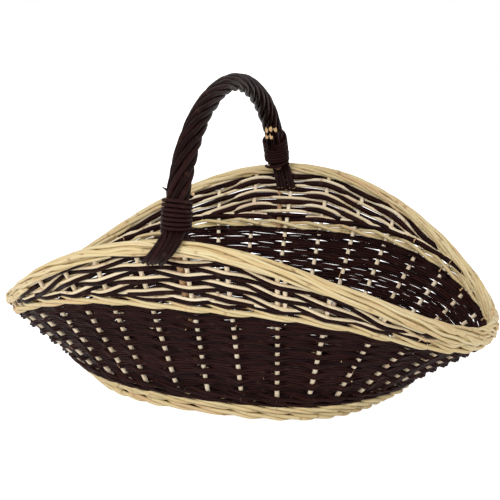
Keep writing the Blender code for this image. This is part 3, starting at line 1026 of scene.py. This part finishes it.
def lay_stick(rods, start, end, radius):
    share = np.linspace(0, 1, stick_steps)[:, None]
    line = np.array([*start, base_middle]) * (1 - share) + np.array([*end, base_middle]) * share
    line[:, 2] += waver(share[:, 0] * np.linalg.norm(line[-1] - line[0]), stick_sway)
    lay_rod(rods, line, radius)


def lay_rod_ends():
    """The cut ends of the lower wall's rods, inside and outside."""
    rods = new_rods()
    for _ in range(rod_end_count):
        place = chance.uniform(0, stakes)
        facing = 1 if chance.uniform() < rod_end_outside_share else -1
        onward = np.linspace(0, rod_end_length, rod_end_steps) * chance.choice([-1, 1])
        angle = stake_angle(place + onward)
        height = chance.uniform(*rod_end_height_shares) * (wale_line(angle) - rod_end_top_gap)
        height = np.maximum(height, foot_wale_height + rod_end_foot_gap)
        proud = stake_radius + 2 * rod_end_radius + rod_end_proud
        out = facing * np.linspace(rod_end_root, proud, rod_end_steps)
        radius = varied(rod_end_radius, "rod end")
        lay_rod(rods, wall_point(angle, height, out), radius, knots=False)
    add_piece("weave_rod_ends", rods, weave_bark)


def lay_end_strands():
    """Rods round both ends of the basket, under the border."""
    rods = new_rods()
    for middle, longest in end_strand_reaches.items():
        for number in range(end_strand_count):
            reach = longest * chance.uniform(*end_strand_reach_shares)
            far_reach = reach * chance.uniform(*end_strand_far_shares)
            place, angle, along = stretch(middle - reach, middle + far_reach)
            low = top_height(angle) - wale_line(angle) - 2 * wale_radius
            share = (number + 1) / (end_strand_count + 1)
            drop = end_strand_drop + (low - end_strand_drop) * share
            drop = np.minimum(drop, end_strand_drop * (1 + number)) + waver(along, upper_sways[0])
            out = (stake_radius + end_strand_radius) * straight_side_of(number, place)
            out = out - tucked(place, place[0], place[-1], end_strand_tuck_reach)
            line = below_rim(angle, drop, out + waver(along, upper_sways[1]))
            lay_rod(rods, line, varied(end_strand_radius, "end strand"))
    add_piece("end_strands", rods, border_wood)


def lay_border_strand(rods, first):
    """A strand that comes up inside the border at a first place, passes over it and ends outside it."""
    share = np.linspace(0, 1, int(border_span * steps_per_stake))
    place = first + border_span * share * chance.uniform(*border_span_shares)
    angle = stake_angle(place)
    along = place * wave_step
    turn = border_start_turn - border_turn * share + waver(along, border_turn_sway)
    tip = smooth((share - 1 + border_end_share) / border_end_share)
    shrink = smooth(share / border_end_share) * (1 - border_tip_squeeze_share * tip)
    shrink = shrink * (1 + waver(along, border_sway_share))
    out = (border_half_width - off_shape(angle, border_thinnings)) * shrink * np.cos(turn)
    rise = border_half_height * shrink * np.sin(turn)
    rise = rise - (1 - smooth(share / border_root_share)) * border_root_drop
    radius = border_strand_radius + (border_strand_tip_radius - border_strand_radius) * share
    lay_rod(rods, below_rim(angle, -rise, out), varied(radius, "border"))


def lay_border():
    rods = new_rods()
    for number in range(border_strands):
        lay_border_strand(rods, number * stakes / border_strands)
    for number in range(border_core_count):
        place, angle, _ = stretch(0, stakes)
        turn = 2 * pi * number / border_core_count + place / border_core_twist
        line = below_rim(angle, -border_core_radius * np.sin(turn), border_core_radius * np.cos(turn))
        lay_rod(rods, line, border_core_radius)
    nodes = ["border_outer_rods", "border_inner_rods", "border_top_rods"]
    add_piece("border_rods", rods, border_wood, nodes)


# Handle
def handle_side(across):
    return handle_offset + tan(handle_skew_angle) * across


def handle_line(turn):
    """The middle of the handle, from its front foot at 0 to its back foot at pi."""
    across = -handle_half_span * signed_power(np.cos(turn), 2 / handle_power) - handle_lean * np.sin(turn)
    height = side_height + handle_rise * np.abs(np.sin(turn)) ** (2 / handle_power)
    return np.stack([handle_side(across) - handle_top_shift * np.sin(turn), across, height], axis=-1)


def handle_turn(rise, side):
    turn = np.arcsin((rise / handle_rise) ** (handle_power / 2))
    return turn if side < 0 else pi - turn


def around_handle(turn, radius, angle):
    """Points beside the handle's middle: angle 0 is level along +X, and pi / 2 is on the arch's inside."""
    ahead = handle_line(np.minimum(turn + handle_turn_step, pi))
    onward = unit(ahead - handle_line(np.maximum(turn - handle_turn_step, 0)))
    level = np.broadcast_to([1.0, 0.0, 0.0], onward.shape)
    level = unit(level - np.sum(level * onward, axis=-1, keepdims=True) * onward)
    outside = np.cross(level, onward)
    aside = column(np.cos(angle), turn) * level - column(np.sin(angle), turn) * outside
    return handle_line(turn) + column(radius, turn) * aside


def between(top, foot, turn):
    """A thickness of the handle, which thins near the top."""
    return foot + (top - foot) * np.sin(turn) ** handle_thin_power


def handle_rod_radius(turn):
    return between(handle_rod_top_radius, handle_rod_foot_radius, turn)


def roping_radius(turn):
    """From the handle's middle to the middle of the rods round it."""
    return between(bow_top_radius, bow_foot_radius, turn) + handle_rod_radius(turn)


def angle_at(along, side):
    """The angle of the wall at a place along the basket, at the front (-1) or the back (1)."""
    return side * np.arccos(signed_power(along / rim_half_length, rim_power / 2))


def bow_foot(side):
    """The bow's way from its end in the weave up to the foot of its arch."""
    along = handle_side(side * rim_half_width)
    angle = angle_at(along, side)
    end_angle = angle_at(along + bow_end_along[side], side)
    wale = wale_line(end_angle)
    return [
        wall_point(end_angle, wale - bow_end_reaches[side], bow_shifts[side]),
        wall_point(end_angle, wale, bow_shifts[side]),
        below_rim(angle, bow_bend_drop, bow_shifts[side]),
    ]


def lay_bow():
    rods = new_rods()
    start = handle_turn(handle_end_rise, -1)
    arch = list(handle_line(np.linspace(start, pi - start, bow_steps)))
    line = through(bow_foot(-1) + arch + bow_foot(1)[::-1], steps=5)
    shares = (0, bow_taper_share, 0.5, 1 - bow_taper_share, 1)
    radii = (bow_end_radius, bow_foot_radius, bow_top_radius, bow_foot_radius, bow_end_radius)
    lay_rod(rods, line, np.interp(np.linspace(0, 1, len(line)), shares, radii), sides=bow_sides)
    add_piece("handle_bow_rod", rods, core_wood, ["handle_bow"])


def fan_place(side, start, end, rise, drop):
    """The angle of a fan's rod at a height above the border's middle, as it slants to its end."""
    highest = fan_rises[side][-1]
    share = (highest - rise) / (highest + drop)
    return angle_at(handle_side(side * rim_half_width) + start + (end - start) * share, side)


def lay_fan_rod(rods, side, leave_angle, along, drop):
    """A rod that leaves the handle under its binding, crosses the border and ends against the weave."""
    radius = handle_rod_foot_radius
    points = []
    for rise in fan_rises[side]:
        turn = handle_turn(rise, side)
        points.append(around_handle(turn, roping_radius(turn), leave_angle))
    start = roping_radius(turn) * cos(leave_angle)
    reach = border_strand_radius + radius
    for bearing in np.radians(fan_bearings[side]):
        rise = (border_half_height + reach) * sin(bearing)
        angle = fan_place(side, start, along, rise, drop)
        points.append(below_rim(angle, -rise, (border_half_width + reach) * cos(bearing)))
    face = stake_radius + 2 * upper_buff_radii["front"] + fan_end_radius
    points.append(below_rim(fan_place(side, start, along, -drop, drop), drop, -side * face))
    line = through(points, steps=6)
    lay_rod(rods, line, varied(np.linspace(radius, fan_end_radius, len(line)), "fan"))


def lay_fans(rods):
    for side in (-1, 1):
        for number in range(fan_rods):
            share = number / (fan_rods - 1)
            leave_angle = radians(np.interp(share, (0, 1), fan_angles[side]))
            along = np.interp(share, (0, 1), fan_places[side])
            if side < 0:
                along += chance.uniform(-1, 1) * front_fan_spread
            drop = fan_drops[side] + chance.uniform(-1, 1) * fan_drop_spread
            lay_fan_rod(rods, side, leave_angle, along, drop)


def lay_spur(rods, side, rise, angle, length, lean):
    turn = handle_turn(rise, side)
    angle = radians(angle)
    reach = roping_radius(turn) + handle_rod_foot_radius
    foot = around_handle(turn, reach - spur_root, angle)
    away = unit(around_handle(turn, reach + outward_step, angle) - foot)
    up = np.array([0.0, 0.0, 1.0])
    tip = foot + length * away + lean * up
    middle = (foot + tip) / 2 + spur_bend_share * length * up
    line = through([foot, middle, tip], steps=4)
    lay_rod(rods, line, np.linspace(*spur_radii, len(line)), knots=False)


def lay_cut_ends(rods):
    """Rods of the back binding's filling, which end above it with slanted cuts."""
    for rise, offset, proud in cut_ends:
        rises = np.linspace(back_binding[1] - cut_end_hidden, rise, cut_end_steps)
        turn = handle_turn(rises, 1)
        reach = roping_radius(turn) + handle_rod_foot_radius + cut_end_gap + proud
        angle = np.full(cut_end_steps, pi / 2 - asin(offset / reach[-1]))
        line = around_handle(turn, reach, angle)
        beyond = around_handle(turn[-1:], reach[-1:] + outward_step, angle[-1:])
        facing = unit(beyond - line[-1:])[0]
        lay_rod(rods, line, cut_end_radius, knots=False, slant=facing)


def lay_roping(rods):
    """Rods that wind round the bow from foot to foot."""
    start = handle_turn(handle_end_rise, -1)
    turn = np.linspace(start, pi - start, handle_rod_steps)
    for number in range(handle_rods):
        angle = handle_rod_start + 2 * pi * number / handle_rods
        angle = angle + 2 * pi * handle_rod_turns * (turn - start) / (pi - 2 * start)
        along = turn * handle_half_span
        angle = angle + waver(along, handle_angle_sway)
        radius = roping_radius(turn) + waver(along, handle_rod_sway)
        line = around_handle(turn, radius, angle)
        lay_rod(rods, line, varied(handle_rod_radius(turn), "handle"))


def lay_handle():
    lay_bow()
    rods = new_rods()
    lay_roping(rods)
    lay_fans(rods)
    lay_cut_ends(rods)
    for spur in spurs:
        lay_spur(rods, *spur)
    names = [f"handle_roping_{number + 1}" for number in range(roping_nodes)]
    add_piece("handle_roping_rods", rods, handle_bark, names)
    lay_binding("handle_binding_front", -1, front_binding)
    lay_binding("handle_binding_back", 1, back_binding)


def lay_binding(node, side, sizes):
    low, high, loops = sizes
    rods = new_rods()
    lap = np.linspace(-binding_tail_laps, loops + binding_tail_laps, binding_lap_steps * loops)
    rise = np.interp(
        lap,
        [-binding_tail_laps, 0, loops, loops + binding_tail_laps],
        [low - binding_tail_rise, low, high, high + binding_tail_rise],
    )
    turn = handle_turn(rise, side)
    angle = binding_start_angles[side] - 2 * pi * lap
    radius = roping_radius(turn) + handle_rod_radius(turn) + binding_radius
    radius = radius + waver(lap * binding_lap_length, binding_sway)
    lay_rod(rods, around_handle(turn, radius, angle), binding_radius)
    add_piece(f"{node}_rod", rods, handle_bark, [node])


# Camera, light and floor
def add_camera():
    data = bpy.data.cameras.new("camera")
    data.lens = lens_length
    data.sensor_width = sensor_width
    data.dof.use_dof = False
    matrix = Matrix.Translation(camera_place)
    for angle, axis in ((camera_azimuth, "Z"), (pi / 2 - camera_elevation, "X"), (camera_roll, "Z")):
        matrix = matrix @ Matrix.Rotation(angle, 4, axis)
    camera = add_object("camera", data)
    camera.matrix_world = matrix
    bpy.context.scene.camera = camera


def add_lamp(name, place, size, power):
    data = bpy.data.lights.new(name, "AREA")
    data.shape = "DISK"
    data.size = size
    data.energy = power
    lamp = add_object(name, data)
    lamp.location = place
    aim = Vector(lamp_aim) - Vector(place)
    lamp.rotation_euler = aim.to_track_quat("-Z", "Y").to_euler()


def add_world():
    nodes = Nodes(bpy.data.worlds.new("studio"), "Background")
    bpy.context.scene.world = nodes.owner
    nodes.set("Color", white)
    nodes.set("Strength", world_strength)
    nodes.show_behind(nodes.add("ShaderNodeBackground", {"Color": white}))


def add_floor():
    mesh = bpy.data.meshes.new("floor")
    corners = ((-1, -1), (1, -1), (1, 1), (-1, 1))
    mesh.from_pydata([(floor_half * x, floor_half * y, 0) for x, y in corners], [], [(0, 1, 2, 3)])
    nodes = Nodes(bpy.data.materials.new("floor_paint"))
    nodes.set("Base Color", floor_colour)
    nodes.set("Roughness", floor_roughness)
    nodes.set("Specular IOR Level", floor_gloss)
    glow = nodes.add("ShaderNodeEmission", {"Color": white, "Strength": floor_glow}).outputs[0]
    nodes.show_behind(nodes.add("ShaderNodeAddShader", {0: nodes.shader.outputs[0], 1: glow}))
    mesh.materials.append(nodes.owner)
    floor = add_object("floor", mesh)
    floor.location = (0, 0, -touch)


add_camera()
lay_stakes()
lay_foot_wale()
lay_lower_weave()
lay_middle_wale()
lay_upper_weave()
lay_rod_ends()
lay_base_weave()
lay_base_sticks()
lay_end_strands()
lay_border()
lay_handle()
add_world()
add_lamp("key_lamp", **key_lamp)
add_lamp("fill_lamp", **fill_lamp)
add_floor()
bpy.context.scene.view_settings.view_transform = "Standard"
